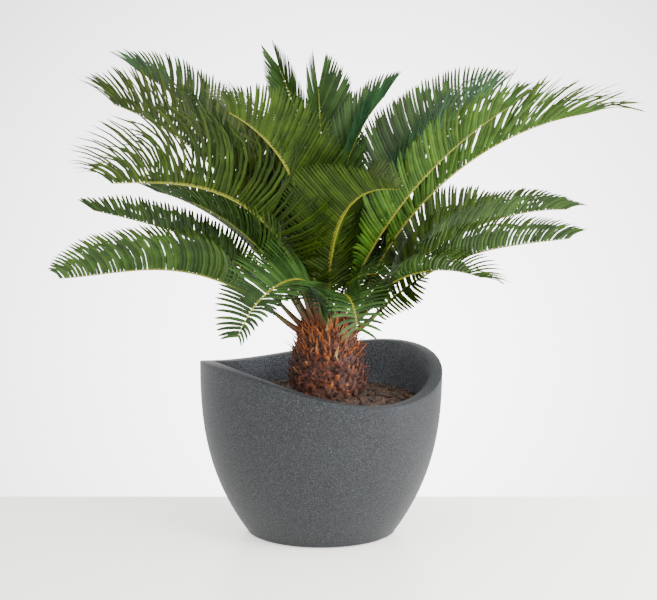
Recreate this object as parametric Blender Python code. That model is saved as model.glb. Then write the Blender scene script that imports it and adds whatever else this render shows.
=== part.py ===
"""Sago palm in a round planter: the pot, its soil, the trunk and one solid for each frond.

Metres, +Z up. The origin is the centre of the pot's flat underside, and -Y is the front.
Angles are in degrees. A heading of 0 points along +X, 90 to the back and 270 to the front.
"""

import math
from collections import namedtuple

import bmesh
import bpy
from mathutils import Vector
from mathutils.bvhtree import BVHTree

# Gap left between two pieces that rest on each other.
SEAT_GAP = 0.0003

# Pot: a turned bowl that swells from its foot to a nearly upright wall.
POT_RADIUS = 0.200
POT_SWELL = 0.40
POT_SWELL_POWER = 2.75
POT_UPRIGHT_Z = 0.295
POT_FOOT_RADIUS = 0.112
POT_FOOT_EDGE = 0.006
POT_FOOT_INSET = 0.0024
POT_FLOOR = 0.018
POT_LIP = 0.021
POT_SIDES = 56
POT_OUTER_ROWS = 9
POT_INNER_ROWS = 5

# Rim: the lip rises and falls twice round the pot, and the whole cut leans a little.
RIM_MEAN = 0.2746
RIM_WAVE = 0.0214
RIM_WAVE_HEADING = 36.7
RIM_TILT = 0.0088
RIM_TILT_HEADING = 140.0

# Soil: a low mound round the trunk.
SOIL_EDGE_Z = 0.218
SOIL_TOP_Z = 0.2365
SOIL_FLAT_RADIUS = 0.072
SOIL_INSET = 0.001
SOIL_MOUND = (0.7, 0.35, 0.0)
SOIL_SIDES = 48

# Trunk: a short barrel of old leaf bases under a round crown.
TRUNK_X = 0.010
TRUNK_FOOT_RADIUS = 0.060
TRUNK_WAIST_RADIUS = 0.0625
TRUNK_NECK_RADIUS = 0.050
TRUNK_WAIST_SHARE = 0.3
TRUNK_SLIM_POWER = 1.6
TRUNK_SIDES = 32
TRUNK_ROWS = 8
SCAR_RELIEF = 0.0035

# Crown: the fronds stand on this ball, whose centre lies inside the top of the trunk.
CROWN = Vector((TRUNK_X, 0.0, 0.312))
CROWN_RADIUS = 0.048
CROWN_NECK_SLOPE = 4.0
CROWN_ROWS = 9

# Fronds: a bare stalk, then a rib with leaflets on both sides.
STALK_SHARE = 0.14
STALK_STATIONS = 3
LEAF_STATIONS = 18
RIB_WIDTH_FOOT = 0.0066
RIB_WIDTH_TIP = 0.0026
RIB_DEPTH_FOOT = 0.0060
RIB_DEPTH_TIP = 0.0026
RIB_TAPER_POWER = 0.6
RIB_STEPS = 60
SEAT_BLEND = 0.16
LIFT_FROM = 0.6

# Leaflets: how they lean forward, grow and shorten along the rib. A leaflet with no room
# for its full length takes the longest cut of it that stands clear.
LEAF_LEAN_BASE = 74.0
LEAF_LEAN_POWER = 1.5
LEAF_SHORTEST = 0.34
LEAF_GROWN_AT = 0.42
LEAF_END_SHARE = 0.6
LEAF_SAG = 0.06
LEAF_CLEARANCE = 0.0006
LEAF_CUTS = (1.0, 0.8, 0.6, 0.42, 0.28)

Frond = namedtuple("Frond", "heading seat rise droop bend length sweep lift leaf end fold lean "
                            "taper roll")

# heading: where the frond points. seat: how high on the crown ball its stalk stands.
# rise: its slope past the stalk. droop: how far the slope falls by the tip. bend: over 1
# bends late, under 1 early. sweep: turn of the heading. lift: how far the tip turns up.
# leaf: longest leaflet. end: share of that length left at the tip. fold: how steeply the
# two rows stand up from the rib. lean: angle between the rib and the leaflets at its tip.
# taper: how late the leaflets shorten towards the tip. roll: turn about the rib.
FRONDS = (
    # Upper fronds, left to right as seen from the front.
    Frond(164, 54, 71, 54, 1.25, 0.508, 0, 0, 0.132, 0.58, 56, 46, 3, 0),
    Frond(146, 68, 64, 42, 1.35, 0.555, 0, 0, 0.092, 0.75, 50, 32, 3, 0),
    Frond(232, 66, 88, 84, 1.70, 0.460, 0, 20, 0.120, 0.50, 50, 40, 3, 0),
    Frond(127, 76, 88, 36, 1.60, 0.432, 0, 0, 0.088, 0.58, 50, 32, 2, 50),
    Frond(96, 62, 82, 20, 1.30, 0.392, 0, 0, 0.122, 0.56, 42, 27, 3, -22),
    Frond(272, 72, 81, 84, 1.70, 0.350, 48, 0, 0.124, 0.12, 46, 78, 1.6, 0),
    Frond(80, 70, 87, 42, 1.80, 0.390, -60, 0, 0.090, 0.60, 56, 22, 3, 0),
    Frond(35, 60, 74, 54, 1.20, 0.492, 0, 0, 0.110, 0.55, 56, 48, 3, 0),
    Frond(335, 66, 70, 38, 1.00, 0.490, 0, 0, 0.080, 0.90, 54, 32, 3, 0),
    Frond(2, 54, 70, 61, 1.20, 0.550, 0, 0, 0.132, 0.75, 54, 27, 3, 0),
    # Middle and lower fronds, left to right.
    Frond(203, 62, 85, 108, 1.12, 0.475, 0, 24, 0.165, 0.42, 60, 48, 5, 0),
    Frond(180, 54, 66, 44, 1.30, 0.290, 0, 0, 0.110, 0.70, 40, 32, 3, 0),
    Frond(170, 38, 54, 57, 1.10, 0.415, 0, 15, 0.050, 0.70, 60, 58, 3, 0),
    Frond(188, 30, 50, 80, 1.10, 0.430, 0, 28, 0.090, 0.30, 58, 60, 5, 0),
    Frond(261, 50, 82, 150, 1.00, 0.320, -50, 0, 0.090, 0.32, 24, 86, 3, 12),
    Frond(290, 60, 84, 170, 1.20, 0.172, 0, 0, 0.080, 0.45, 20, 96, 1.6, 0),
    Frond(306, 70, 88, 90, 1.00, 0.150, 25, 0, 0.070, 0.60, 20, 50, 3, 0),
    Frond(335, 40, 73, 89, 0.90, 0.280, 0, 0, 0.064, 0.85, 40, 46, 3, 0),
    Frond(352, 30, 54, 62, 1.10, 0.405, 0, 16, 0.074, 0.50, 56, 44, 3, 0),
    Frond(14, 38, 55, 58, 1.10, 0.435, 0, 0, 0.066, 0.60, 56, 42, 3, 0),
    # Fronds on the far side.
    Frond(52, 50, 68, 45, 1.30, 0.450, 0, 0, 0.112, 0.60, 48, 40, 3, 0),
    Frond(132, 54, 62, 46, 1.30, 0.470, 0, 0, 0.112, 0.60, 48, 40, 3, 0),
    Frond(152, 46, 58, 50, 1.20, 0.370, 0, 0, 0.090, 0.60, 45, 40, 3, 0),
    Frond(105, 36, 38, 55, 1.20, 0.420, 0, 0, 0.100, 0.60, 45, 40, 3, 0),
    Frond(42, 34, 46, 48, 1.20, 0.400, 0, 0, 0.100, 0.60, 45, 40, 3, 0),
    Frond(74, 34, 34, 60, 1.20, 0.400, 0, 0, 0.100, 0.60, 45, 40, 3, 0),
)

# Finishes of the plain solids: colour (linear), roughness.
POT_FINISH = ((0.075, 0.082, 0.092), 0.55)
SOIL_FINISH = ((0.035, 0.018, 0.010), 0.95)
TRUNK_FINISH = ((0.130, 0.048, 0.020), 0.90)
FROND_FINISH = ((0.045, 0.105, 0.018), 0.45)


def clear_scene():
    """Removes whatever objects the file holds."""
    for old in list(bpy.data.objects):
        bpy.data.objects.remove(old, do_unlink=True)


def finish(name, colour_and_roughness):
    """A plain material with a colour and a roughness."""
    colour, roughness = colour_and_roughness
    material = bpy.data.materials.new(name)
    material.use_nodes = True
    shader = material.node_tree.nodes["Principled BSDF"]
    shader.inputs["Base Color"].default_value = (*colour, 1.0)
    shader.inputs["Roughness"].default_value = roughness
    shader.inputs["Metallic"].default_value = 0.0
    return material


def add_object(name, bm, material, crease_angle):
    """Turns a bmesh into a named object, smooth but for edges past the crease angle."""
    mesh = bpy.data.meshes.new(name)
    bm.to_mesh(mesh)
    bm.free()
    mesh.materials.append(material)
    mesh.shade_smooth()
    mesh.set_sharp_from_angle(angle=math.radians(crease_angle))
    piece = bpy.data.objects.new(name, mesh)
    bpy.context.collection.objects.link(piece)
    return piece


def turned(profile, sides):
    """Spins an (r, z) profile that starts and ends on the Z axis into a closed solid."""
    bm = bmesh.new()
    points = [bm.verts.new((r, 0.0, z)) for r, z in profile]
    edges = [bm.edges.new(pair) for pair in zip(points, points[1:])]
    bmesh.ops.spin(bm, geom=points + edges, axis=(0, 0, 1), cent=(0, 0, 0),
                   angle=math.tau, steps=sides, use_merge=True)
    bmesh.ops.remove_doubles(bm, verts=bm.verts, dist=1e-6)
    bmesh.ops.recalc_face_normals(bm, faces=bm.faces)
    return bm


def pot_radius(z):
    """Outer radius of the pot's wall at height z."""
    below = max(0.0, 1.0 - z / POT_UPRIGHT_Z)
    return POT_RADIUS * (1.0 - POT_SWELL * below ** POT_SWELL_POWER)


def rim_height(angle):
    """Height of the lip in the direction of angle, in radians."""
    wave = RIM_WAVE * math.cos(2.0 * (angle - math.radians(RIM_WAVE_HEADING)))
    tilt = RIM_TILT * math.cos(angle - math.radians(RIM_TILT_HEADING))
    return RIM_MEAN + wave + tilt


def follow_rim(bm, floor_z):
    """Stretches an upright solid above floor_z so that its top follows the rim."""
    for vert in bm.verts:
        if vert.co.z > floor_z:
            angle = math.atan2(vert.co.y, vert.co.x)
            share = (vert.co.z - floor_z) / (RIM_MEAN - floor_z)
            wall = pot_radius(vert.co.z) - Vector((vert.co.x, vert.co.y)).length
            vert.co.z = floor_z + share * (rim_height(angle) - floor_z)
            radius = pot_radius(vert.co.z) - wall
            vert.co.x = radius * math.cos(angle)
            vert.co.y = radius * math.sin(angle)


def build_pot(material):
    """The bowl: foot, swelling wall, flat lip that follows the rim, and the inside."""
    edge = POT_FOOT_EDGE
    profile = [(0.0, 0.0), (POT_FOOT_RADIUS, 0.0), (pot_radius(edge) - POT_FOOT_INSET, edge)]
    for row in range(1, POT_OUTER_ROWS + 1):
        z = edge + (RIM_MEAN - edge) * row / POT_OUTER_ROWS
        profile.append((pot_radius(z), z))
    for row in range(POT_INNER_ROWS + 1):
        z = RIM_MEAN + (POT_FLOOR - RIM_MEAN) * row / POT_INNER_ROWS
        profile.append((pot_radius(z) - POT_LIP, z))
    profile.append((0.0, POT_FLOOR))
    bm = turned(profile, POT_SIDES)
    follow_rim(bm, POT_FLOOR)
    bmesh.ops.triangulate(bm, faces=bm.faces)
    return add_object("pot", bm, material, 35)


def build_soil(material):
    """Soil that fills the pot from its floor up to a low mound with a flat crown."""
    flats = POT_RADIUS * (1.0 - math.cos(math.pi / POT_SIDES))
    inset = POT_LIP + SEAT_GAP + flats + SOIL_INSET
    foot_z = POT_FLOOR + SEAT_GAP
    profile = [(0.0, foot_z)]
    for row in range(POT_INNER_ROWS):
        z = foot_z + (SOIL_EDGE_Z - foot_z) * row / (POT_INNER_ROWS - 1)
        profile.append((pot_radius(z) - inset, z))
    reach = profile[-1][0] - SOIL_FLAT_RADIUS
    for share in SOIL_MOUND:
        z = SOIL_EDGE_Z + (SOIL_TOP_Z - SOIL_EDGE_Z) * math.cos(share * math.pi / 2)
        profile.append((SOIL_FLAT_RADIUS + reach * share, z))
    profile.append((0.0, SOIL_TOP_Z))
    bm = turned(profile, SOIL_SIDES)
    bmesh.ops.triangulate(bm, faces=bm.faces)
    return add_object("soil", bm, material, 50)


def trunk_radius(share):
    """Radius of the trunk's barrel, from its cut foot (0) to its neck (1)."""
    if share < TRUNK_WAIST_SHARE:
        swell = share / TRUNK_WAIST_SHARE
        return TRUNK_FOOT_RADIUS + (TRUNK_WAIST_RADIUS - TRUNK_FOOT_RADIUS) * swell
    slim = (share - TRUNK_WAIST_SHARE) / (1.0 - TRUNK_WAIST_SHARE)
    return TRUNK_WAIST_RADIUS + (TRUNK_NECK_RADIUS - TRUNK_WAIST_RADIUS) * slim ** TRUNK_SLIM_POWER


def build_trunk(material):
    """The barrel with its diamond leaf scars, closed by the crown ball."""
    foot_z = SOIL_TOP_Z + SEAT_GAP
    neck_slope = math.radians(CROWN_NECK_SLOPE)
    neck_z = CROWN.z + CROWN_RADIUS * math.sin(neck_slope)
    profile = [(0.0, foot_z)]
    for row in range(TRUNK_ROWS + 1):
        share = row / TRUNK_ROWS
        profile.append((trunk_radius(share), foot_z + (neck_z - foot_z) * share))
    for row in range(1, CROWN_ROWS + 1):
        slope = neck_slope + (math.pi / 2 - neck_slope) * row / CROWN_ROWS
        radius = CROWN_RADIUS * math.cos(slope) if row < CROWN_ROWS else 0.0
        profile.append((radius, CROWN.z + CROWN_RADIUS * math.sin(slope)))
    bm = turned(profile, TRUNK_SIDES)
    row_height = (neck_z - foot_z) / TRUNK_ROWS
    for vert in bm.verts:
        row = (vert.co.z - foot_z) / row_height
        if 0.5 < row < TRUNK_ROWS - 0.5:
            column = math.atan2(vert.co.y, vert.co.x) * TRUNK_SIDES / math.tau
            raised = (round(row) + round(column)) % 2 == 0
            reach = Vector((vert.co.x, vert.co.y)).length
            grow = 1.0 + (SCAR_RELIEF / reach if raised else 0.0)
            vert.co.x *= grow
            vert.co.y *= grow
    bmesh.ops.translate(bm, verts=bm.verts, vec=(TRUNK_X, 0, 0))
    bmesh.ops.triangulate(bm, faces=bm.faces)
    return add_object("trunk", bm, material, 30)


def smooth_step(share):
    """Eases a share from 0 to 1."""
    share = min(1.0, max(0.0, share))
    return share * share * (3.0 - 2.0 * share)


def slope_at(frond, share):
    """Slope of the rib at a share of its length, in degrees."""
    slope = frond.rise - frond.droop * share ** frond.bend
    slope += frond.lift * max(0.0, (share - LIFT_FROM) / (1.0 - LIFT_FROM)) ** 2
    return frond.seat + (slope - frond.seat) * smooth_step(share / SEAT_BLEND)


def direction(heading, slope):
    """Unit vector with a heading and a slope given in degrees."""
    h, s = math.radians(heading), math.radians(slope)
    return Vector((math.cos(s) * math.cos(h), math.cos(s) * math.sin(h), math.sin(s)))


def rib_frames(frond, shares):
    """Point and axes (along, side, up) of the rib at each share of its length."""
    roll = math.radians(frond.roll)
    point = CROWN + (CROWN_RADIUS + SEAT_GAP) * direction(frond.heading, frond.seat)
    path = [point.copy()]
    for step in range(RIB_STEPS):
        mid = (step + 0.5) / RIB_STEPS
        point = point + direction(frond.heading + frond.sweep * mid,
                                  slope_at(frond, mid)) * (frond.length / RIB_STEPS)
        path.append(point)
    frames = []
    for share in shares:
        step = min(RIB_STEPS - 1, int(share * RIB_STEPS))
        place = path[step].lerp(path[step + 1], share * RIB_STEPS - step)
        along = direction(frond.heading + frond.sweep * share, slope_at(frond, share))
        level = along.cross(Vector((0, 0, 1))).normalized()
        side = level * math.cos(roll) + level.cross(along) * math.sin(roll)
        frames.append((place, along, side, side.cross(along)))
    return frames


def leaf_length(frond, share):
    """Length of the leaflets that stand at a share of the rib."""
    grown = LEAF_SHORTEST + (1.0 - LEAF_SHORTEST) * smooth_step(
        (share - STALK_SHARE) / (LEAF_GROWN_AT - STALK_SHARE))
    past = max(0.0, (share - LEAF_GROWN_AT) / (1.0 - LEAF_GROWN_AT))
    return frond.leaf * grown * (1.0 - (1.0 - frond.end) * past ** frond.taper)


def leaf_vector(frond, share, frame, hand):
    """From root to tip of the leaflet at a share of the rib, on hand -1 or +1."""
    along, side, up = frame[1:]
    lean = math.radians(LEAF_LEAN_BASE + (frond.lean - LEAF_LEAN_BASE) * share ** LEAF_LEAN_POWER)
    fold = math.radians(frond.fold)
    across = side * (hand * math.cos(fold)) + up * math.sin(fold)
    reach = along * math.cos(lean) + across * math.sin(lean)
    length = leaf_length(frond, share)
    return reach * length - Vector((0, 0, LEAF_SAG * length))


def frond_shares():
    """Shares of the rib's length where its cross-sections stand."""
    stalk = [STALK_SHARE * row / STALK_STATIONS for row in range(STALK_STATIONS)]
    step = (1.0 - STALK_SHARE) / LEAF_STATIONS
    blade = [STALK_SHARE + step * row for row in range(LEAF_STATIONS + 1)]
    return stalk + blade


def build_rib(frond):
    """The frond's rib as a closed bmesh, with its side faces listed by station and hand."""
    shares = frond_shares()
    frames = rib_frames(frond, shares)
    bm = bmesh.new()
    rings = []
    for share, (place, _, side, up) in zip(shares, frames):
        taper = share ** RIB_TAPER_POWER
        half_width = 0.5 * (RIB_WIDTH_FOOT + (RIB_WIDTH_TIP - RIB_WIDTH_FOOT) * taper)
        half_depth = 0.5 * (RIB_DEPTH_FOOT + (RIB_DEPTH_TIP - RIB_DEPTH_FOOT) * taper)
        corners = ((-1, -1), (1, -1), (1, 1), (-1, 1))
        rings.append([bm.verts.new(place + side * (x * half_width) + up * (y * half_depth))
                      for x, y in corners])
    sides = {}
    for station, (near, far) in enumerate(zip(rings, rings[1:])):
        for edge in range(4):
            after = (edge + 1) % 4
            face = bm.faces.new((near[edge], far[edge], far[after], near[after]))
            if edge == 1:
                sides[station, 1] = face
            if edge == 3:
                sides[station, -1] = face
    bm.faces.new(rings[0])
    bm.faces.new(list(reversed(rings[-1])))
    bmesh.ops.recalc_face_normals(bm, faces=bm.faces)
    return bm, sides, shares, frames


def triangles_of(bm):
    """Corner points and triangle indices of a bmesh, as plain lists."""
    bm.verts.index_update()
    points = [vert.co.copy() for vert in bm.verts]
    faces = []
    for face in bm.faces:
        index = [vert.index for vert in face.verts]
        faces.extend((index[0], index[k], index[k + 1]) for k in range(1, len(index) - 1))
    return points, faces


def tree_of(parts):
    """One search tree of several (points, triangles) lists."""
    points, faces = [], []
    for part_points, part_faces in parts:
        start = len(points)
        points.extend(part_points)
        faces.extend(tuple(start + index for index in face) for face in part_faces)
    return BVHTree.FromPolygons(points, faces)


def padded_leaf(face, tip):
    """The leaflet that would stand on a side face, widened by the clearance."""
    middle = face.calc_center_median()
    points = [vert.co for vert in face.verts]
    along = (points[1] - points[0]).normalized()
    across = face.normal.cross(along)
    corners = []
    for point in points:
        away = point - middle
        grow = along * math.copysign(LEAF_CLEARANCE, away.dot(along))
        grow += across * math.copysign(LEAF_CLEARANCE, away.dot(across))
        corners.append(point + grow + face.normal * LEAF_CLEARANCE)
    reach = (tip - middle).normalized()
    return corners + [tip + reach * LEAF_CLEARANCE], [(0, 1, 4), (1, 2, 4), (2, 3, 4), (3, 0, 4)]


def free_tip(face, vector, obstacles):
    """The leaflet's tip, drawn in until the leaflet is clear, or None."""
    middle = face.calc_center_median()
    for cut in LEAF_CUTS:
        tip = middle + vector * cut
        if not tree_of([padded_leaf(face, tip)]).overlap(obstacles):
            return tip
    return None


def add_leaflets(frond, rib, obstacles):
    """Raises a leaflet from each side face of the rib that has room for one."""
    bm, sides, shares, frames = rib
    for (station, hand), face in sides.items():
        if station < STALK_STATIONS:
            continue
        share = 0.5 * (shares[station] + shares[station + 1])
        frame = rib_frames(frond, [share])[0]
        tip = free_tip(face, leaf_vector(frond, share, frame, hand), obstacles)
        if tip is not None:
            apex = bmesh.ops.poke(bm, faces=[face])["verts"][0]
            apex.co = tip
    add_end_leaflet(frond, bm, frames[-1], obstacles)


def add_end_leaflet(frond, bm, frame, obstacles):
    """Draws the rib's end out into its last leaflet."""
    place, along = frame[:2]
    cap = min(bm.faces, key=lambda face: (face.calc_center_median() - place).length)
    tip = free_tip(cap, along * (LEAF_END_SHARE * leaf_length(frond, 1.0)), obstacles)
    if tip is not None:
        bmesh.ops.poke(bm, faces=[cap])["verts"][0].co = tip


def build_fronds(material, standing):
    """All fronds, each leaflet kept clear of the ribs, the leaflets before it and the pot."""
    ribs = [build_rib(frond) for frond in FRONDS]
    outlines = [triangles_of(rib[0]) for rib in ribs]
    for number, (frond, rib) in enumerate(zip(FRONDS, ribs)):
        others = [outline for index, outline in enumerate(outlines) if index != number]
        add_leaflets(frond, rib, tree_of(standing + others))
        outlines[number] = triangles_of(rib[0])
        bmesh.ops.triangulate(rib[0], faces=rib[0].faces)
        add_object(f"frond_{number + 1:02d}", rib[0], material, 30)


def outline_of(piece):
    """Points and triangles of a finished object."""
    mesh = piece.data
    mesh.calc_loop_triangles()
    points = [vert.co.copy() for vert in mesh.vertices]
    return points, [tuple(triangle.vertices) for triangle in mesh.loop_triangles]


def main():
    clear_scene()
    pot = build_pot(finish("moulded_plastic", POT_FINISH))
    soil = build_soil(finish("bark_mulch", SOIL_FINISH))
    trunk = build_trunk(finish("leaf_bases", TRUNK_FINISH))
    standing = [outline_of(piece) for piece in (pot, soil, trunk)]
    build_fronds(finish("leaflets", FROND_FINISH), standing)


main()
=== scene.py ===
"""Sago palm in a speckled dark grey pot, in a pale studio.

Metres, +Z up. The origin is the centre of the pot's flat underside, and -Y is the front.
Angles are in degrees. A heading of 0 points along +X, 90 to the back and 270 to the front.
"""
import math
from collections import namedtuple

import bmesh
import bpy
import numpy as np
from mathutils import Matrix, Vector, noise


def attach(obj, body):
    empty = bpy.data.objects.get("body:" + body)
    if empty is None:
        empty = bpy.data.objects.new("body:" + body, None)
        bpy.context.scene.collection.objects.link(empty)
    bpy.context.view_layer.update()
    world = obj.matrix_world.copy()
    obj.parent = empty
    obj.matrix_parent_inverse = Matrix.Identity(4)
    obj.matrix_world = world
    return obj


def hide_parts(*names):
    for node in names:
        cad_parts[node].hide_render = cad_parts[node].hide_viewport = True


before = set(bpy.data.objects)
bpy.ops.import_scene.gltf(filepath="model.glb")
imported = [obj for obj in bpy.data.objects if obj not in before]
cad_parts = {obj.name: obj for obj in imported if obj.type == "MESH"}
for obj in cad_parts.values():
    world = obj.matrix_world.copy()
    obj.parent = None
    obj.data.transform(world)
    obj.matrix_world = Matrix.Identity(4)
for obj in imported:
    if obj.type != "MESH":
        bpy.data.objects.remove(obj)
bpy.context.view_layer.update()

# Pot, as in the solids: a turned bowl with a flat lip whose height waves round the pot.
POT_RADIUS = 0.200
POT_SWELL = 0.40
POT_SWELL_POWER = 2.75
POT_UPRIGHT_Z = 0.295
POT_FOOT_RADIUS = 0.112
POT_FOOT_EDGE = 0.006
POT_FLOOR = 0.018
POT_LIP = 0.021
POT_SIDES = 168
POT_OUTER_ROWS = 26
POT_INNER_ROWS = 10
LIP_EDGE = 0.0012
RIM_MEAN = 0.2746
RIM_WAVE = 0.0214
RIM_WAVE_HEADING = 36.7
RIM_TILT = 0.0088
RIM_TILT_HEADING = 140.0

# Soil: a low mound of bark mulch round the trunk.
SOIL_EDGE_Z = 0.218
SOIL_TOP_Z = 0.2365
SOIL_FLAT_RADIUS = 0.072
SOIL_SIDES = 96
CHIP_COUNT = 900

# Trunk: a short barrel of old leaf bases under a round crown.
TRUNK_X = 0.010
TRUNK_FOOT_RADIUS = 0.060
TRUNK_WAIST_RADIUS = 0.0625
TRUNK_NECK_RADIUS = 0.050
TRUNK_WAIST_SHARE = 0.3
TRUNK_SLIM_POWER = 1.6
CROWN = Vector((TRUNK_X, 0.0, 0.312))
CROWN_RADIUS = 0.048

# Old leaf bases: half-widths in metres, tilts in degrees from upright, bend up to 1, the
# outline as pairs of place and share of the width, and the shares of purple-brown,
# red-brown, rust and straw among them.
BLUNT = ((0.0, 1.0), (0.50, 1.0), (0.86, 0.72))
POINTED = ((0.0, 1.0), (0.35, 0.9), (0.70, 0.5))
Scales = namedtuple("Scales", "name count low high length width tilt spread bend outline shares")
OLD_SCALES = Scales("old_scales", 860, SOIL_TOP_Z - 0.004, CROWN.z + 0.004, 0.0125, 0.0042, 42, 22,
                    -0.6, BLUNT, (0.62, 0.32, 0.05, 0.01))
CROWN_SCALES = Scales("crown_scales", 300, CROWN.z - 0.016, CROWN.z + 0.036, 0.027, 0.0029, 36, 22,
                      -0.2, POINTED, (0.05, 0.30, 0.52, 0.13))
SCALE_SINK = 0.005
GOLDEN_TURN = 2.39996

# Fronds: a bare stalk, then a rib with leaflets on both sides.
STALK_SHARE = 0.14
SEAT_BLEND = 0.16
LIFT_FROM = 0.6
RIB_STEPS = 60
RIB_STATIONS = 41
RIB_SIDES = 8
RIB_FLATNESS = 0.8
LEAF_LEAN_POWER = 1.5
LEAF_SHORTEST = 0.34
LEAF_GROWN_AT = 0.42

# One leaflet every 4.6 mm on each side, 4 to 6 mm wide, as on the real plant.
LEAF_SPACING = 0.0061
LEAF_RINGS = (0.0, 0.020, 0.08, 0.30, 0.52, 0.74, 0.90)
LEAF_OUTLINE = (0.72, 0.90, 1.0, 1.0, 0.95, 0.82, 0.56)
LEAF_FOOT = 4
LEAF_THICK = 0.36
FOLD_RISE = 0.32
TIP_FROM = 0.84
TIP_CLOSING = 0.80
OUTER_FROM = 0.45
OUTER_SLIMMING = 0.24
NEIGHBOURS = (1, 2, 3, 4, 3, 2, 1)
OWN_WAY = 0.25
# Every other leaflet takes darker copies of its greens, painted shade between neighbours; this share of
# leaflets breaks the turn.
ODD_SHADES = 0.25

# Studio: a table whose far edge shows behind the pot, and a wall that glows with painted light behind the
# plant.
TABLE_WIDTH = 9.0
TABLE_DEPTH = 4.2
TABLE_THICK = 0.04
TABLE_BACK_Y = 0.222
WALL_Y = 7.5
WALL_WIDTH = 14.0
WALL_HEIGHT = 10.0
WALL_THICK = 0.1
# The wall's glow is painted light: an emission that is brightest round this spot and fades outward.
WALL_GLOW_X = 0.146
WALL_GLOW_Z = -1.23
WALL_GLOW_SIZE = 2.28
WALL_DIM = 0.45
WALL_BRIGHT = 6.0

Frond = namedtuple("Frond", "heading seat rise droop bend length sweep lift leaf end fold lean "
                            "open splay turn taper roll curl sag stray wide tone")

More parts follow.
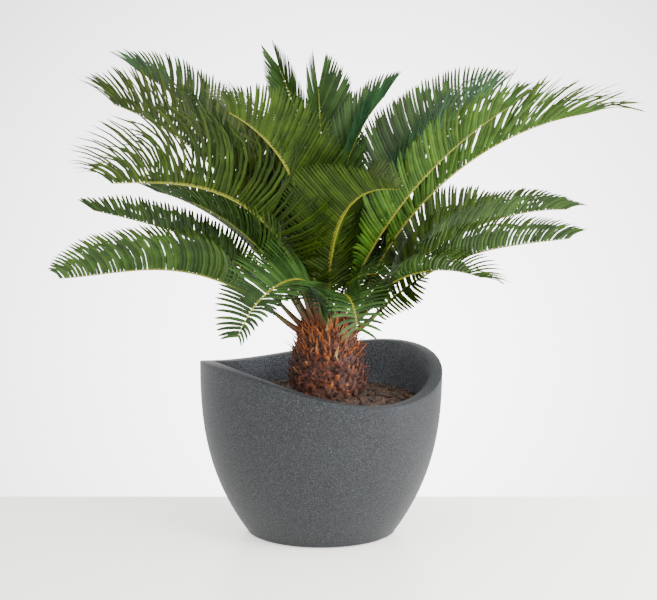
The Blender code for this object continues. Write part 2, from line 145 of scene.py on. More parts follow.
# The first twelve values, taper and roll are those of the solids.
# open: the leaflets' angle to the rib at the stalk. splay: the rows' fold at the stalk, where
# a negative one lets the row towards the front hang. turn: where along the rib the rows start to
# rise to their full fold. taper: how late the leaflets shorten. roll: how far the frond is
# turned about its rib. curl: how many degrees a leaflet bends towards the frond's tip.
# sag: how far it bends down. stray: how unevenly the leaflets lie. wide: a leaflet's width
# in millimetres. tone: its greens.
FRONDS = (
    # Upper fronds, left to right as seen from the front.
    Frond(164, 54, 71, 54, 1.25, 0.508, 0, 0, 0.132, 0.58, 56, 46,
          70, 10, .14, 3, 0, 30, .16, 1.2, 5.6, "olive"),
    Frond(146, 68, 64, 42, 1.35, 0.555, 0, 0, 0.092, 0.75, 50, 32,
          72, 10, .14, 3, 0, 20, .15, 0.8, 6.0, "blue"),
    Frond(232, 66, 88, 84, 1.70, 0.460, 0, 20, 0.120, 0.50, 50, 40,
          60, 15, .14, 3, 0, 16, .05, 0.4, 6.6, "olive"),
    Frond(127, 76, 88, 36, 1.60, 0.432, 0, 0, 0.088, 0.58, 50, 32,
          44, 50, .14, 2, 50, 8, .00, 0.4, 6.4, "blue"),
    Frond(96, 62, 82, 20, 1.30, 0.392, 0, 0, 0.122, 0.56, 42, 27,
          42, 20, .14, 3, -22, 8, .00, 0.5, 7.2, "blue"),
    Frond(272, 72, 81, 84, 1.70, 0.350, 48, 0, 0.124, 0.12, 46, 78,
          56, 15, .14, 1.6, 0, 16, .04, 0.15, 7.2, "olive"),
    Frond(80, 70, 87, 42, 1.80, 0.390, -60, 0, 0.090, 0.60, 56, 22,
          38, 10, .14, 3, 0, 14, .05, 0.4, 6.4, "blue"),
    Frond(35, 60, 74, 54, 1.20, 0.492, 0, 0, 0.110, 0.55, 56, 48,
          66, 10, .14, 3, 0, 20, .05, 0.4, 6.8, "blue"),
    Frond(335, 66, 70, 38, 1.00, 0.490, 0, 0, 0.080, 0.90, 54, 32,
          62, 15, .14, 3, 0, 20, .20, 1.7, 6.0, "bright"),
    Frond(2, 54, 70, 61, 1.20, 0.550, 0, 0, 0.132, 0.75, 54, 27,
          60, 10, .14, 3, 0, 20, .34, 2.3, 5.6, "bright"),
    # Middle and lower fronds, left to right.
    Frond(203, 62, 85, 108, 1.12, 0.475, 0, 24, 0.165, 0.42, 60, 48,
          74, 15, .14, 5, 0, 48, .34, 1.3, 5.4, "olive"),
    Frond(180, 54, 66, 44, 1.30, 0.290, 0, 0, 0.110, 0.70, 40, 32,
          70, 0, .14, 3, 0, 30, .30, 0.9, 5.0, "deep"),
    Frond(170, 38, 54, 57, 1.10, 0.415, 0, 15, 0.050, 0.70, 60, 58,
          78, 0, .14, 3, 0, 14, .00, 0.6, 6.4, "deep"),
    Frond(188, 30, 50, 80, 1.10, 0.430, 0, 28, 0.090, 0.30, 58, 60,
          74, 0, .14, 5, 0, 52, .16, 0.3, 6.6, "deep"),
    Frond(261, 50, 82, 150, 1.00, 0.320, -50, 0, 0.090, 0.32, 24, 86,
          84, -46, .30, 3, 12, 18, .18, 0.4, 7.6, "blue"),
    Frond(290, 60, 84, 170, 1.20, 0.172, 0, 0, 0.080, 0.45, 20, 96,
          84, 16, .14, 1.6, 0, 16, .22, 0.3, 6.8, "blue"),
    Frond(306, 70, 88, 90, 1.00, 0.150, 25, 0, 0.070, 0.60, 20, 50,
          70, -40, .60, 3, 0, 30, .20, 0.5, 5.6, "blue"),
    Frond(335, 40, 73, 89, 0.90, 0.280, 0, 0, 0.064, 0.85, 40, 46,
          70, -30, .30, 3, 0, 34, .20, 0.4, 6.0, "deep"),
    Frond(352, 30, 54, 62, 1.10, 0.405, 0, 16, 0.074, 0.50, 56, 44,
          70, -56, .20, 3, 0, 44, .26, 0.5, 5.6, "deep"),
    Frond(14, 38, 55, 58, 1.10, 0.435, 0, 0, 0.066, 0.60, 56, 42,
          70, 0, .14, 3, 0, 46, .26, 0.6, 6.4, "deep"),
    # Fronds on the far side.
    Frond(52, 50, 68, 45, 1.30, 0.450, 0, 0, 0.112, 0.60, 48, 40,
          70, 0, .14, 3, 0, 24, .10, 0.7, 7.0, "deep"),
    Frond(132, 54, 62, 46, 1.30, 0.470, 0, 0, 0.112, 0.60, 48, 40,
          70, 0, .14, 3, 0, 24, .10, 0.7, 7.0, "deep"),
    Frond(152, 46, 58, 50, 1.20, 0.370, 0, 0, 0.090, 0.60, 45, 40,
          70, 0, .14, 3, 0, 24, .10, 0.7, 7.0, "deep"),
    Frond(105, 36, 38, 55, 1.20, 0.420, 0, 0, 0.100, 0.60, 45, 40,
          70, 0, .14, 3, 0, 24, .10, 0.7, 7.0, "deep"),
    Frond(42, 34, 46, 48, 1.20, 0.400, 0, 0, 0.100, 0.60, 45, 40,
          70, 0, .14, 3, 0, 24, .10, 0.7, 7.0, "deep"),
    Frond(74, 34, 34, 60, 1.20, 0.400, 0, 0, 0.100, 0.60, 45, 40,
          70, 0, .14, 3, 0, 24, .10, 0.7, 7.0, "deep"),
)


def colour(code):
    """A colour written as sRGB hex, turned linear."""
    parts = [int(code[at:at + 2], 16) / 255 for at in (1, 3, 5)]
    linear = [part / 12.92 if part <= 0.04045 else ((part + 0.055) / 1.055) ** 2.4
              for part in parts]
    return (*linear, 1.0)


def add_node(material, kind, settings=None, **values):
    """Adds a node: settings are its own fields, values go to its sockets or are links."""
    tree = material.node_tree
    node = tree.nodes.new(kind)
    for field, setting in (settings or {}).items():
        setattr(node, field, setting)
    for socket, value in values.items():
        entry = node.inputs[int(socket[1:])] if socket[0] == "i" and socket[1:].isdigit() \
            else node.inputs[socket.replace("_", " ")]
        if isinstance(value, bpy.types.NodeSocket):
            tree.links.new(value, entry)
        else:
            entry.default_value = value
    return node


def empty_material(name):
    """A material with no nodes yet."""
    material = bpy.data.materials.new(name)
    material.use_nodes = True
    material.node_tree.nodes.clear()
    return material


def scale_for(millimetres):
    """Noise scale whose patches are about this many millimetres across."""
    return 1000.0 / millimetres


def speckled_plastic(name, dark, light, fleck):
    """Rotation-moulded polyethylene, dark grey with fine light and dark granite-like flecks."""
    material = empty_material(name)
    place = add_node(material, "ShaderNodeTexCoord").outputs["Object"]
    # Flecks 1.1 mm across: real ones are half that, and would not show in the render.
    flecks = add_node(material, "ShaderNodeTexNoise", Vector=place, Scale=scale_for(1.1),
                      Detail=0.0)
    clouds = add_node(material, "ShaderNodeTexNoise", Vector=place, Scale=scale_for(110),
                      Detail=2.0)
    cloudy = add_node(material, "ShaderNodeMapRange", i0=clouds.outputs[0], i1=0.35, i2=0.65)
    pale = add_node(material, "ShaderNodeMapRange", i0=flecks.outputs[0], i1=0.56, i2=0.66)
    deep = add_node(material, "ShaderNodeMapRange", i0=flecks.outputs[0], i1=0.45, i2=0.34)
    grey = add_node(material, "ShaderNodeMix", {"data_type": "RGBA"}, i0=cloudy.outputs[0],
                    i6=colour(dark), i7=colour(light))
    flecked = add_node(material, "ShaderNodeMix", {"data_type": "RGBA"}, i0=pale.outputs[0],
                       i6=grey.outputs[2], i7=colour(fleck))
    full = add_node(material, "ShaderNodeMix", {"data_type": "RGBA"}, i0=deep.outputs[0],
                    i6=flecked.outputs[2], i7=colour("#15171A"))
    bump = add_node(material, "ShaderNodeBump", Strength=0.12, Distance=0.0004,
                    Height=flecks.outputs[0])
    shader = add_node(material, "ShaderNodeBsdfPrincipled", Base_Color=full.outputs[2],
                      Roughness=0.55, IOR=1.5, Specular_IOR_Level=0.22, Normal=bump.outputs[0])
    add_node(material, "ShaderNodeOutputMaterial", Surface=shader.outputs[0])
    return material


def bark_mulch(name, light, dark):
    """Dry bark and old leaf bases: dull, with fibres a few millimetres wide."""
    material = empty_material(name)
    place = add_node(material, "ShaderNodeTexCoord").outputs["Object"]
    grain = add_node(material, "ShaderNodeTexNoise", Vector=place, Scale=scale_for(4), Detail=4.0)
    share = add_node(material, "ShaderNodeMapRange", i0=grain.outputs[0], i1=0.35, i2=0.65)
    brown = add_node(material, "ShaderNodeMix", {"data_type": "RGBA"}, i0=share.outputs[0],
                     i6=colour(dark), i7=colour(light))
    bump = add_node(material, "ShaderNodeBump", Strength=0.6, Distance=0.001,
                    Height=grain.outputs[0])
    shader = add_node(material, "ShaderNodeBsdfPrincipled", Base_Color=brown.outputs[2],
                      Roughness=0.9, Normal=bump.outputs[0])
    add_node(material, "ShaderNodeOutputMaterial", Surface=shader.outputs[0])
    return material


def leaf_skin(name, light, dark, roughness):
    """Waxy leaflet skin: a soft sheen, with slow shifts of green a few centimetres long."""
    material = empty_material(name)
    place = add_node(material, "ShaderNodeTexCoord").outputs["Object"]
    drift = add_node(material, "ShaderNodeTexNoise", Vector=place, Scale=scale_for(26), Detail=2.0)
    share = add_node(material, "ShaderNodeMapRange", i0=drift.outputs[0], i1=0.38, i2=0.62)
    green = add_node(material, "ShaderNodeMix", {"data_type": "RGBA"}, i0=share.outputs[0],
                     i6=colour(dark), i7=colour(light))
    shader = add_node(material, "ShaderNodeBsdfPrincipled", Base_Color=green.outputs[2],
                      Roughness=roughness, IOR=1.45, Specular_IOR_Level=0.16)
    add_node(material, "ShaderNodeOutputMaterial", Surface=shader.outputs[0])
    return material


def rib_skin():
    """Smooth rib: brown at the trunk, olive along the stalk, then yellow-green."""
    material = empty_material("frond_rib")
    place = add_node(material, "ShaderNodeTexCoord").outputs["Object"]
    along = add_node(material, "ShaderNodeAttribute", {"attribute_name": "along"}).outputs["Fac"]
    wear = add_node(material, "ShaderNodeTexNoise", Vector=place, Scale=scale_for(8), Detail=3.0)
    worn = add_node(material, "ShaderNodeMapRange", i0=wear.outputs[0], i1=0.3, i2=0.7)
    leaving = add_node(material, "ShaderNodeMapRange", i0=along, i1=0.02, i2=0.14)
    ripening = add_node(material, "ShaderNodeMapRange", i0=along, i1=0.15, i2=0.50)
    olive = add_node(material, "ShaderNodeMix", {"data_type": "RGBA"}, i0=worn.outputs[0],
                     i6=colour("#3A3F14"), i7=colour("#50511A"))
    stalk = add_node(material, "ShaderNodeMix", {"data_type": "RGBA"}, i0=leaving.outputs[0],
                     i6=colour("#5E3420"), i7=olive.outputs[2])
    full = add_node(material, "ShaderNodeMix", {"data_type": "RGBA"}, i0=ripening.outputs[0],
                    i6=stalk.outputs[2], i7=colour("#727315"))
    shader = add_node(material, "ShaderNodeBsdfPrincipled", Base_Color=full.outputs[2],
                      Roughness=0.45, IOR=1.45)
    add_node(material, "ShaderNodeOutputMaterial", Surface=shader.outputs[0])
    return material


def wall_with_painted_glow():
    """Matt white wall with a painted glow, strongest behind the plant and dimmer at its edges."""
    material = empty_material("studio_wall_painted_glow")
    place = add_node(material, "ShaderNodeTexCoord").outputs["Object"]
    centred = add_node(material, "ShaderNodeMapping", {"vector_type": "TEXTURE"}, Vector=place,
                       Location=(WALL_GLOW_X, WALL_Y, WALL_GLOW_Z),
                       Scale=(WALL_GLOW_SIZE, WALL_GLOW_SIZE, WALL_GLOW_SIZE))
    glow = add_node(material, "ShaderNodeTexGradient", {"gradient_type": "SPHERICAL"},
                    Vector=centred.outputs[0])
    strength = add_node(material, "ShaderNodeMapRange", i0=glow.outputs[1], i1=0.0, i2=1.0,
                        i3=WALL_DIM, i4=WALL_BRIGHT)
    shader = add_node(material, "ShaderNodeBsdfPrincipled", Base_Color=colour("#F2F0F0"),
                      Roughness=0.9, Emission_Color=colour("#FBF8F9"),
                      Emission_Strength=strength.outputs[0])
    add_node(material, "ShaderNodeOutputMaterial", Surface=shader.outputs[0])
    return material


def table_with_painted_glow():
    """Pale satin lacquer with a painted glow that grows towards the right, with the pot dimly mirrored in
    it.
    """
    material = empty_material("satin_table_painted_glow")
    place = add_node(material, "ShaderNodeTexCoord").outputs["Object"]
    across = add_node(material, "ShaderNodeSeparateXYZ", Vector=place).outputs["X"]
    # Painted light: the table's emission runs from dim on the left to bright on the right.
    glow = add_node(material, "ShaderNodeMapRange", i0=across, i1=-0.6, i2=0.6, i3=0.10, i4=1.7)
    shader = add_node(material, "ShaderNodeBsdfPrincipled", Base_Color=colour("#F8F7F1"),
                      Roughness=0.32, IOR=1.45, Emission_Color=colour("#FFFDF9"),
                      Emission_Strength=glow.outputs[0])
    add_node(material, "ShaderNodeOutputMaterial", Surface=shader.outputs[0])
    return material


def set_piece(piece, slot, *nodes):
    """Rides a piece on the body and hides the solids that it stands for. Its slot is not used."""
    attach(piece, "root")
    if nodes:
        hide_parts(*nodes)
    return piece


def add_object(name, mesh, *materials):
    """Links a mesh as an object at the origin."""
    for material in materials:
        mesh.materials.append(material)
    piece = bpy.data.objects.new(name, mesh)
    bpy.context.scene.collection.objects.link(piece)
    return piece


def from_bmesh(name, bm, material, crease=None):
    """Turns a bmesh into an object, smooth but for edges past the crease angle."""
    mesh = bpy.data.meshes.new(name)
    bm.to_mesh(mesh)
    bm.free()
    if crease is not None:
        mesh.shade_smooth()
        mesh.set_sharp_from_angle(angle=math.radians(crease))
    return add_object(name, mesh, material)


def turned(profile, sides):
    """Spins an (r, z) profile that starts and ends on the Z axis into a closed solid."""
    bm = bmesh.new()
    points = [bm.verts.new((r, 0.0, z)) for r, z in profile]
    edges = [bm.edges.new(pair) for pair in zip(points, points[1:])]
    bmesh.ops.spin(bm, geom=points + edges, axis=(0, 0, 1), cent=(0, 0, 0),
                   angle=math.tau, steps=sides, use_merge=True)
    bmesh.ops.remove_doubles(bm, verts=bm.verts, dist=1e-6)
    bmesh.ops.recalc_face_normals(bm, faces=bm.faces)
    return bm


def pot_radius(z):
    """Outer radius of the pot's wall at height z."""
    below = max(0.0, 1.0 - z / POT_UPRIGHT_Z)
    return POT_RADIUS * (1.0 - POT_SWELL * below ** POT_SWELL_POWER)


def rim_height(angle):
    """Height of the lip in the direction of angle, in radians."""
    wave = RIM_WAVE * math.cos(2.0 * (angle - math.radians(RIM_WAVE_HEADING)))
    tilt = RIM_TILT * math.cos(angle - math.radians(RIM_TILT_HEADING))
    return RIM_MEAN + wave + tilt


def follow_rim(bm, floor_z):
    """Stretches an upright solid above floor_z so that its top follows the rim."""
    for vert in bm.verts:
        if vert.co.z > floor_z:
            angle = math.atan2(vert.co.y, vert.co.x)
            share = (vert.co.z - floor_z) / (RIM_MEAN - floor_z)
            wall = pot_radius(vert.co.z) - Vector((vert.co.x, vert.co.y)).length
            vert.co.z = floor_z + share * (rim_height(angle) - floor_z)
            radius = pot_radius(vert.co.z) - wall
            vert.co.x = radius * math.cos(angle)
            vert.co.y = radius * math.sin(angle)


def build_pot(outside, inside):
    """The bowl, with its lip's two edges and its foot a little rounded."""
    foot = POT_FOOT_EDGE
    profile = [(0.0, 0.0), (POT_FOOT_RADIUS, 0.0)]
    for turn in (30, 60, 90):
        swing = math.radians(turn)
        radius = POT_FOOT_RADIUS + (pot_radius(foot) - POT_FOOT_RADIUS) * math.sin(swing)
        profile.append((radius, foot * (1.0 - math.cos(swing))))
    for row in range(1, POT_OUTER_ROWS + 1):
        z = foot + (RIM_MEAN - LIP_EDGE - foot) * row / POT_OUTER_ROWS
        profile.append((pot_radius(z), z))
    for turn in (45, 90):
        swing = math.radians(turn)
        profile.append((pot_radius(RIM_MEAN) - LIP_EDGE * (1.0 - math.cos(swing)),
                        RIM_MEAN - LIP_EDGE * (1.0 - math.sin(swing))))
    inner = pot_radius(RIM_MEAN) - POT_LIP
    for turn in (90, 45):
        swing = math.radians(turn)
        profile.append((inner + LIP_EDGE * (1.0 - math.cos(swing)),
                        RIM_MEAN - LIP_EDGE * (1.0 - math.sin(swing))))
    for row in range(POT_INNER_ROWS + 1):
        top = RIM_MEAN - LIP_EDGE
        z = top + (POT_FLOOR - top) * row / POT_INNER_ROWS
        profile.append((pot_radius(z) - POT_LIP, z))
    profile.append((0.0, POT_FLOOR))
    bm = turned(profile, POT_SIDES)
    follow_rim(bm, POT_FLOOR)
    pot = from_bmesh("pot_body", bm, outside, 40)
    pot.data.materials.append(inside)
    # Faces that look inward take the lighter copy of the plastic, which is painted light on the pot's
    # inner wall.
    for face in pot.data.polygons:
        outward = face.normal.to_2d().dot(face.center.to_2d().normalized())
        face.material_index = int(outward < -0.5)
    return set_piece(pot, "pot", "pot")


def soil_height(x, y):
    """Height of the mulch's uneven top over a point."""
    reach = pot_radius(SOIL_EDGE_Z) - POT_LIP
    share = min(1.0, max(0.0, (math.hypot(x, y) - SOIL_FLAT_RADIUS) / (reach - SOIL_FLAT_RADIUS)))
    mound = SOIL_EDGE_Z + (SOIL_TOP_Z - SOIL_EDGE_Z) * math.cos(share * math.pi / 2)
    lumps = noise.noise(Vector((x, y, 0.0)) * 60.0) * 0.0035
    return mound - 0.004 + lumps + noise.noise(Vector((x, y, 3.0)) * 170.0) * 0.0018


def build_soil(material):
    """The mulch as one closed solid with a lumpy top."""
    profile = [(0.0, POT_FLOOR + 0.0005)]
    for row in range(6):
        z = POT_FLOOR + 0.0005 + (SOIL_EDGE_Z - 0.006 - POT_FLOOR) * row / 5
        profile.append((pot_radius(z) - POT_LIP - 0.0008, z))
    rim = profile[-1][0]
    rings = 34
    profile += [(rim * (1.0 - row / rings), SOIL_EDGE_Z) for row in range(1, rings + 1)]
    bm = turned(profile, SOIL_SIDES)
    for vert in bm.verts:
        if vert.co.z > SOIL_EDGE_Z - 0.0001:
            vert.co.z = soil_height(vert.co.x, vert.co.y)
    return set_piece(from_bmesh("soil_bed", bm, material, 60), "soil", "soil")


def build_chips(materials):
    """Flakes of bark strewn over the soil, each a bent and tilted slab."""
    rng = np.random.default_rng(7)
    bm = bmesh.new()
    reach = pot_radius(SOIL_EDGE_Z) - POT_LIP - 0.012
    for _ in range(CHIP_COUNT):
        radius = math.sqrt(rng.uniform(0.062 ** 2, reach ** 2))
        angle = rng.uniform(0, math.tau)
        x, y = radius * math.cos(angle), radius * math.sin(angle)
        size = rng.uniform(0.004, 0.013)
        made = bmesh.ops.create_cube(bm, size=1.0)["verts"]
        bmesh.ops.scale(bm, verts=made, vec=(size, size * rng.uniform(0.3, 0.7), size * 0.22))
        for vert in made:
            vert.co += Vector(rng.uniform(-1, 1, 3)) * size * 0.13
        for axis, swing in (("X", 0.5), ("Y", 0.5), ("Z", math.pi)):
            turn = rng.uniform(-swing, swing)
            bmesh.ops.rotate(bm, verts=made, cent=(0, 0, 0),
                             matrix=Matrix.Rotation(turn, 3, axis))
        bmesh.ops.translate(bm, verts=made, vec=(x, y, soil_height(x, y) + size * 0.06))
    faces = list(bm.faces)
    for number, face in enumerate(faces):
        face.material_index = (number // 6) % len(materials)
    piece = from_bmesh("bark_chips", bm, materials[0])
    for material in materials[1:]:
        piece.data.materials.append(material)
    return set_piece(piece, "soil", "soil")


def smooth_step(share):
    """Eases a share from 0 to 1, for a number or an array."""
    share = np.clip(share, 0.0, 1.0)
    return share * share * (3.0 - 2.0 * share)


def slope_at(frond, share):
    """Slope of the rib at a share of its length, in degrees."""
    slope = frond.rise - frond.droop * share ** frond.bend
    slope += frond.lift * max(0.0, (share - LIFT_FROM) / (1.0 - LIFT_FROM)) ** 2
    return frond.seat + (slope - frond.seat) * float(smooth_step(share / SEAT_BLEND))


def direction(heading, slope):
    """Unit vector with a heading and a slope given in degrees."""
    h, s = math.radians(heading), math.radians(slope)
    return Vector((math.cos(s) * math.cos(h), math.cos(s) * math.sin(h), math.sin(s)))


def rib_path(frond, start_depth):
    """Arrays of the rib's points and axes (along, side, up) at even steps of its length."""
    roll = math.radians(frond.roll)
    seat = direction(frond.heading, frond.seat)
    point = CROWN + (CROWN_RADIUS - start_depth) * seat
    points, alongs, sides, ups = [point], [], [], []
    for step in range(RIB_STEPS):
        mid = (step + 0.5) / RIB_STEPS
        point = point + direction(frond.heading + frond.sweep * mid,
                                  slope_at(frond, mid)) * (frond.length / RIB_STEPS)
        points.append(point)
    for step in range(RIB_STEPS + 1):
        share = step / RIB_STEPS
        along = direction(frond.heading + frond.sweep * share, slope_at(frond, share))
        level = along.cross(Vector((0, 0, 1))).normalized()
        side = level * math.cos(roll) + level.cross(along) * math.sin(roll)
        alongs.append(along)
        sides.append(side)
        ups.append(side.cross(along))
    return [np.array(rows) for rows in (points, alongs, sides, ups)]


def along_path(rows, shares):
    """Rows of an array read between its steps at the shares."""
    place = np.clip(shares, 0.0, 1.0) * (len(rows) - 1)
    low = np.minimum(place.astype(int), len(rows) - 2)
    part = (place - low)[:, None]
    return rows[low] * (1.0 - part) + rows[low + 1] * part


def unit(rows):
    """Rows scaled to length one."""
    return rows / np.linalg.norm(rows, axis=-1, keepdims=True)


def rib_half_width(share):
    """Half the rib's width: a broad stalk foot that thins fast, then slowly."""
    return 0.0006 + 0.0017 * (1.0 - share) ** 0.8 + 0.0062 * np.exp(-share / 0.12)


def leaf_length(frond, share):
    """Lengths of the leaflets that stand at shares of the rib."""
    grown = LEAF_SHORTEST + (1.0 - LEAF_SHORTEST) * smooth_step(
        (share - STALK_SHARE) / (LEAF_GROWN_AT - STALK_SHARE))
    past = np.maximum(0.0, (share - LEAF_GROWN_AT) / (1.0 - LEAF_GROWN_AT))
    return frond.leaf * grown * (1.0 - (1.0 - frond.end) * past ** frond.taper)


def uneven(rng, count):
    """One random value a leaflet, of unit spread, most of it shared with its neighbours."""
    shared = np.convolve(rng.normal(0.0, 1.0, count + len(NEIGHBOURS) - 1), NEIGHBOURS, "valid")
    shared /= np.sqrt(sum(weight ** 2 for weight in NEIGHBOURS))
    return (1.0 - OWN_WAY) * shared + OWN_WAY * rng.normal(0.0, 1.0, count)


def row_of_leaflets(frond, path, hand, rng):
    """Points of one row's leaflets: an array of (leaflet, ring, corner) and one of tips."""
    points, alongs, sides, ups = path
    count = int(frond.length * (1.0 - STALK_SHARE) / LEAF_SPACING)
    shares = STALK_SHARE + (1.0 - STALK_SHARE) * (np.arange(count) + rng.uniform(0.3, 0.7, count)) / count
    root, along, side, up = (along_path(rows, shares) for rows in (points, alongs, sides, ups))
    along, side, up = unit(along), unit(side), unit(up)
    wild = np.where(rng.uniform(0, 1, count) < 0.05 * frond.stray, 1.8, 1.0)
    stray = frond.stray * wild
    curl = np.radians(frond.curl) * (1.0 + 0.3 * stray * uneven(rng, count))
    lean = frond.open + (frond.lean - frond.open) * shares ** LEAF_LEAN_POWER
    closing = TIP_CLOSING * frond.end * smooth_step((shares - TIP_FROM) / (1.0 - TIP_FROM))
    lean *= 1.0 - closing
    lean = np.radians(lean + 2.5 * stray * uneven(rng, count))
    fold_share = smooth_step((shares - frond.turn) / FOLD_RISE)
    front = 1 if math.cos(math.radians(frond.heading)) > 0.0 else -1
    splay = frond.splay if hand == front else abs(frond.splay)
    fold = splay + (frond.fold - splay) * fold_share
    fold = np.radians(fold + 3.0 * stray * uneven(rng, count))
    across = side * (hand * np.cos(fold))[:, None] + up * np.sin(fold)[:, None]
    length = leaf_length(frond, shares) * (1.0 + 0.04 * stray * rng.normal(0.0, 1.0, count))
    sag = (frond.sag + 0.35 * (1.0 - fold_share)) * (1.0 + 0.3 * stray * uneven(rng, count))
    twist = 0.20 * stray * rng.normal(0.0, 1.0, count)
    width = 0.0005 * frond.wide * (0.75 + 0.25 * smooth_step((shares - STALK_SHARE) / 0.2))
    width *= 1.0 - OUTER_SLIMMING * smooth_step((shares - OUTER_FROM) / (1.0 - OUTER_FROM))
    down = np.array([0.0, 0.0, -1.0])
    half = rib_half_width(shares)
    here = root + side * (hand * 0.8 * half)[:, None] + up * (0.5 * half)[:, None]
    rings = []
    previous = 0.0
    for ring, outline in zip(LEAF_RINGS, LEAF_OUTLINE):
        middle = 0.5 * (previous + ring)
        angle = lean + curl * (0.5 - middle)
        toward = along * np.cos(angle)[:, None] + across * np.sin(angle)[:, None]
        toward = unit(toward + down * (sag * middle ** 1.5)[:, None])
        here = here + toward * (length * (ring - previous))[:, None]
        previous = ring
        flat = unit(along - toward * (along * toward).sum(1)[:, None])
        face = np.cross(toward, flat) * -hand
        turn = twist * ring
        flat, face = (flat * np.cos(turn)[:, None] + face * np.sin(turn)[:, None],
                      face * np.cos(turn)[:, None] - flat * np.sin(turn)[:, None])
        wide = flat * (width * outline)[:, None]
        thick = face * (width * outline * LEAF_THICK)[:, None]
        corners = (here - wide, here + thick, here + wide, here - 0.45 * thick)
        if hand < 0:
            corners = (corners[2], corners[1], corners[0], corners[3])
        rings.append(np.stack(corners, axis=1))
    tip = here + toward * (length * (1.0 - previous))[:, None]
    return np.stack(rings, axis=1), tip


def leaflet_faces():
    """Faces of one leaflet over its own points: finish 0 is its upper side, 1 its back, whose paler,
    yellower green is partly its own and partly painted light shining through.
    """
    rings = len(LEAF_RINGS)
    tip = 4 * rings
    faces, finishes = [(0, 1, 2, 3)], [LEAF_FOOT]
    for ring in range(rings):
        for edge in range(4):
            after = (edge + 1) % 4
            finish = LEAF_FOOT if ring == 0 else (0 if edge < 2 else 1)
            low = (4 * ring + after, 4 * ring + edge)
            if ring + 1 < rings:
                faces.append((*low, 4 * ring + 4 + edge, 4 * ring + 4 + after))
            else:
                faces.append((*low, tip))
            finishes.append(finish)
    return faces, finishes


def mesh_of(name, points, faces, finishes=None):
    """A mesh made from arrays."""
    mesh = bpy.data.meshes.new(name)
    mesh.from_pydata(points, [], faces)
    if finishes is not None:
        mesh.polygons.foreach_set("material_index", finishes)
    mesh.update()
    return mesh


def build_leaflets(number, frond, path, finishes):
    """All leaflets of a frond, joined."""
    rng = np.random.default_rng(100 + number)
    pattern, kinds = leaflet_faces()
    points, faces, indices = [], [], []
    start = 0
    for hand in (-1, 1):
        rings, tips = row_of_leaflets(frond, path, hand, rng)
        # Leaflets take the darker, painted-shade copies of their greens in turns.
        shades = (np.arange(len(tips)) + (rng.uniform(0, 1, len(tips)) < ODD_SHADES)) % 2
        for body, tip, shade in zip(rings, tips, shades.tolist()):
            points.extend(body.reshape(-1, 3).tolist())
            points.append(tip.tolist())
            faces.extend(tuple(start + index for index in face) for face in pattern)
            indices.extend(finish + 2 * (shade * (finish < 2)) for finish in kinds)
            start += 4 * len(LEAF_RINGS) + 1
    name = f"frond_{number:02d}"
    piece = add_object(f"{name}_leaflets", mesh_of(name, points, faces, indices), *finishes)
    return set_piece(piece, "frond", name)


def build_rib(number, frond, path, material):
    """The frond's rib: an eight-sided stem drawn out along its path, slimmer to its end."""
    bm = bmesh.new()
    layer = bm.verts.layers.float.new("along")
    ring = bmesh.ops.create_circle(bm, cap_ends=True, radius=1.0, segments=RIB_SIDES)["verts"]
    edges = list(bm.edges)
    before = Matrix.Identity(4)
    shares = np.linspace(0.0, 1.0, RIB_STATIONS)
    rows = [along_path(part, shares) for part in path]
    for share, point, along, side, up in zip(shares, *rows):
        half = float(rib_half_width(share))
        here = Matrix((side * half, up * half * RIB_FLATNESS, along * half)).transposed().to_4x4()
        here.translation = Vector(point)
        if share > 0.0:
            made = bmesh.ops.extrude_edge_only(bm, edges=edges)["geom"]
            ring = [item for item in made if isinstance(item, bmesh.types.BMVert)]
            edges = [item for item in made if isinstance(item, bmesh.types.BMEdge)
                     and all(vert in ring for vert in item.verts)]
        bmesh.ops.transform(bm, matrix=here @ before.inverted(), verts=ring)
        for vert in ring:
            vert[layer] = share
        before = here
    bmesh.ops.contextual_create(bm, geom=edges)
    bmesh.ops.recalc_face_normals(bm, faces=bm.faces)
    name = f"frond_{number:02d}"
    return set_piece(from_bmesh(f"{name}_rib", bm, material, 60), "frond", name)


def trunk_radius(z):
    """Radius of the trunk's barrel at height z."""
    share = (z - SOIL_TOP_Z) / (CROWN.z - SOIL_TOP_Z)
    if share < TRUNK_WAIST_SHARE:
        swell = max(0.0, share) / TRUNK_WAIST_SHARE
        return TRUNK_FOOT_RADIUS + (TRUNK_WAIST_RADIUS - TRUNK_FOOT_RADIUS) * swell
    slim = (share - TRUNK_WAIST_SHARE) / (1.0 - TRUNK_WAIST_SHARE)
    return TRUNK_WAIST_RADIUS + (TRUNK_NECK_RADIUS - TRUNK_WAIST_RADIUS) * slim ** TRUNK_SLIM_POWER


def build_trunk(material):
    """The trunk's core, rough with old leaf bases, closed by its crown."""
    foot_z = SOIL_TOP_Z - 0.006
    profile = [(0.0, foot_z)]
    rows = 30
    for row in range(rows + 1):
        z = foot_z + (CROWN.z - foot_z) * row / rows
        profile.append((trunk_radius(z) - 0.004, z))
    for row in range(1, 11):
        slope = math.pi / 2 * row / 10
        profile.append(((CROWN_RADIUS - 0.001) * math.cos(slope) if row < 10 else 0.0,
                        CROWN.z + (CROWN_RADIUS - 0.001) * math.sin(slope)))
    bm = turned(profile, 96)
    for vert in bm.verts:
        flat = Vector((vert.co.x, vert.co.y, 0))
        if flat.length > 0.005 and vert.co.z > foot_z + 0.001:
            rough = noise.noise(Vector((vert.co.x, vert.co.y, vert.co.z * 0.6)) * 190.0) * 0.0035
            vert.co += flat.normalized() * rough
    bmesh.ops.translate(bm, verts=bm.verts, vec=(TRUNK_X, 0, 0))
    return set_piece(from_bmesh("trunk_core", bm, material, 60), "trunk", "trunk")


def scale_faces(rings):
    """Faces of one scale over its own points: rings of four corners, then a tip."""
    faces = [(0, 1, 2, 3)]
    for ring in range(rings):
        for edge in range(4):
            after = (edge + 1) % 4
            low = (4 * ring + after, 4 * ring + edge)
            if ring + 1 < rings:
                faces.append((*low, 4 * ring + 4 + edge, 4 * ring + 4 + after))
            else:
                faces.append((*low, 4 * rings))
    return faces


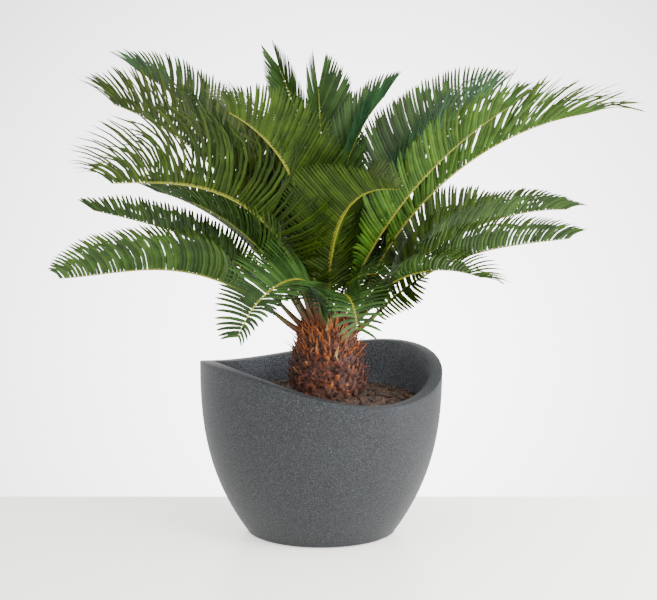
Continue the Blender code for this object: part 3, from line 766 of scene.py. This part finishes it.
def build_scales(kind, seed, finishes):
    """Pointed old leaf bases that clothe the trunk between two heights."""
    rng = np.random.default_rng(seed)
    pattern = scale_faces(len(kind.outline))
    points, faces, indices = [], [], []
    for number in range(kind.count):
        z = kind.low + (kind.high - kind.low) * (number + rng.uniform(0, 1)) / kind.count
        angle = number * GOLDEN_TURN + rng.uniform(-0.15, 0.15)
        radius = trunk_radius(z) - SCALE_SINK
        if z > CROWN.z:
            radius = CROWN_RADIUS * math.sqrt(1.0 - ((z - CROWN.z) / CROWN_RADIUS) ** 2) - SCALE_SINK
        out = np.array([math.cos(angle), math.sin(angle), 0.0])
        side = np.array([-out[1], out[0], 0.0])
        tilt = math.radians(kind.tilt + kind.spread * rng.normal(0, 1))
        toward = out * math.sin(tilt) + np.array([0, 0, math.cos(tilt)])
        toward = unit(toward + side * rng.normal(0, 0.30))
        across = unit(np.cross(np.cross(toward, side), toward))
        face = np.cross(across, toward)
        reach = kind.length * rng.uniform(0.6, 1.4)
        wide = kind.width * rng.uniform(0.6, 1.2)
        bend = rng.normal(kind.bend, 0.5)
        here = np.array([TRUNK_X, 0, z]) + out * radius
        start = len(points)
        for place, outline in kind.outline:
            spot = here + toward * (reach * place) + face * (bend * reach * place ** 2 * 0.5)
            points.extend((spot - across * wide * outline, spot - face * wide * outline * 0.25,
                           spot + across * wide * outline, spot + face * wide * outline * 0.35))
        points.append(here + toward * reach + face * (bend * reach * 0.5))
        faces.extend(tuple(start + index for index in face_points) for face_points in pattern)
        indices.extend([int(rng.choice(len(finishes), p=kind.shares))] * len(pattern))
    rows = [[float(value) for value in point] for point in points]
    mesh = mesh_of(kind.name, rows, faces, indices)
    bm = bmesh.new()
    bm.from_mesh(mesh)
    bmesh.ops.recalc_face_normals(bm, faces=bm.faces)
    bm.to_mesh(mesh)
    bm.free()
    return set_piece(add_object(kind.name, mesh, *finishes), "trunk", "trunk")


def build_studio():
    """A pale table under the plant, and a white wall some way behind it."""
    bm = bmesh.new()
    bmesh.ops.create_cube(bm, size=1.0)
    bmesh.ops.scale(bm, verts=bm.verts, vec=(TABLE_WIDTH, TABLE_DEPTH, TABLE_THICK))
    bmesh.ops.translate(bm, verts=bm.verts,
                        vec=(0, TABLE_BACK_Y - TABLE_DEPTH / 2, -TABLE_THICK / 2))
    from_bmesh("studio_table", bm, table_with_painted_glow())
    bm = bmesh.new()
    bmesh.ops.create_cube(bm, size=1.0)
    bmesh.ops.scale(bm, verts=bm.verts, vec=(WALL_WIDTH, WALL_THICK, WALL_HEIGHT))
    bmesh.ops.translate(bm, verts=bm.verts, vec=(0, WALL_Y + WALL_THICK / 2, 0))
    from_bmesh("studio_wall", bm, wall_with_painted_glow())


def add_light(name, place, target, size, power, tint):
    """A square soft light."""
    data = bpy.data.lights.new(name, "AREA")
    data.shape = "SQUARE"
    data.size = size
    data.energy = power
    data.color = colour(tint)[:3]
    light = bpy.data.objects.new(name, data)
    light.location = place
    light.rotation_euler = (Vector(target) - Vector(place)).to_track_quat("-Z", "Y").to_euler()
    bpy.context.scene.collection.objects.link(light)


def build_lights():
    """Even studio light: a bright sky, a soft key at the front and a fill on the right."""
    world = bpy.data.worlds.new("studio_sky")
    world.use_nodes = True
    sky = world.node_tree.nodes["Background"]
    sky.inputs["Color"].default_value = colour("#FFFFFF")
    sky.inputs["Strength"].default_value = 2.3
    bpy.context.scene.world = world
    add_light("key_softbox", (1.8, -2.4, 2.8), (0.0, 0.0, 0.35), 1.4, 150.0, "#FFFBF4")
    add_light("right_fill", (2.6, -0.6, 0.8), (0.0, 0.0, 0.25), 1.2, 70.0, "#F6F9FF")
    add_light("left_fill", (-2.0, -1.9, 2.2), (0.0, 0.0, 0.3), 1.6, 34.0, "#FFFFFF")


def build_camera():
    """The photograph's camera: 4.5 m away, a little above the crown, looking down."""
    data = bpy.data.cameras.new("camera")
    focal_pixels = 2783.0
    data.sensor_width = 36.0
    data.lens = focal_pixels * data.sensor_width / 657.0
    camera = bpy.data.objects.new("camera", data)
    camera.location = (0.0119, -4.5, 1.201)
    camera.rotation_euler = (math.radians(90.0 - 10.23), 0.0, 0.0)
    bpy.context.scene.collection.objects.link(camera)
    bpy.context.scene.camera = camera


def build_plant():
    """Pot, soil, trunk and fronds."""
    # The second, lighter plastic is the same plastic with painted light, for the pot's inner wall.
    build_pot(speckled_plastic("moulded_polyethylene", "#171A1C", "#1B1E21", "#3A3D41"),
              speckled_plastic("inner_wall_polyethylene_painted_light", "#42454A", "#494D52", "#70747A"))
    build_soil(bark_mulch("composted_bark", "#4A3529", "#2A1E18"))
    build_chips([bark_mulch("bark_chip_brown", "#5A3F2F", "#33241B"),
                 bark_mulch("bark_chip_dark", "#35261F", "#1B1310")])
    build_trunk(bark_mulch("leaf_base_fibre", "#5A3626", "#2E1D17"))
    scale_finishes = [bark_mulch("weathered_scale", "#5C3A31", "#33201C"),
                      bark_mulch("red_brown_scale", "#7C4731", "#4B281D"),
                      bark_mulch("fresh_rust_scale", "#B0642F", "#7A4020"),
                      bark_mulch("straw_scale", "#B99A62", "#8A6A3C")]
    build_scales(OLD_SCALES, 11, scale_finishes)
    build_scales(CROWN_SCALES, 12, scale_finishes)
    foot = leaf_skin("leaflet_foot", "#6F7226", "#555B1B", 0.5)
    # Greens of each tone as light and dark pairs: the upper face, the back, and darker copies of both
    # that are painted shade.
    greens = {
        # The backs' paler greens are partly painted light shining through the leaflets.
        "deep": (("#314B19", "#263C11"), ("#394F11", "#2B3E0C"),
                 ("#233A10", "#182C0B"), ("#293C0B", "#1D2D07")),
        "blue": (("#294B28", "#1E3A1E"), ("#304B1D", "#243B13"),
                 ("#1C3A20", "#122A17"), ("#233814", "#172A0C")),
        "olive": (("#31450B", "#243507"), ("#38460B", "#2A3607"),
                  ("#253606", "#1A2A03"), ("#2B3705", "#1F2903")),
        "bright": (("#3B5915", "#2D460F"), ("#455811", "#35450B"),
                   ("#2B470E", "#1F3708"), ("#33470A", "#253606")),
    }
    skins = {tone: [leaf_skin(f"{tone}_green_{part}", *pair, 0.46)
                    for part, pair in zip(("face", "back", "painted_shade_face", "painted_shade_back"), pairs)]
             for tone, pairs in greens.items()}
    rib = rib_skin()
    for number, frond in enumerate(FRONDS, start=1):
        path = rib_path(frond, 0.004)
        build_leaflets(number, frond, path, (*skins[frond.tone], foot))
        build_rib(number, frond, path, rib)


build_camera()
build_lights()
build_studio()
build_plant()
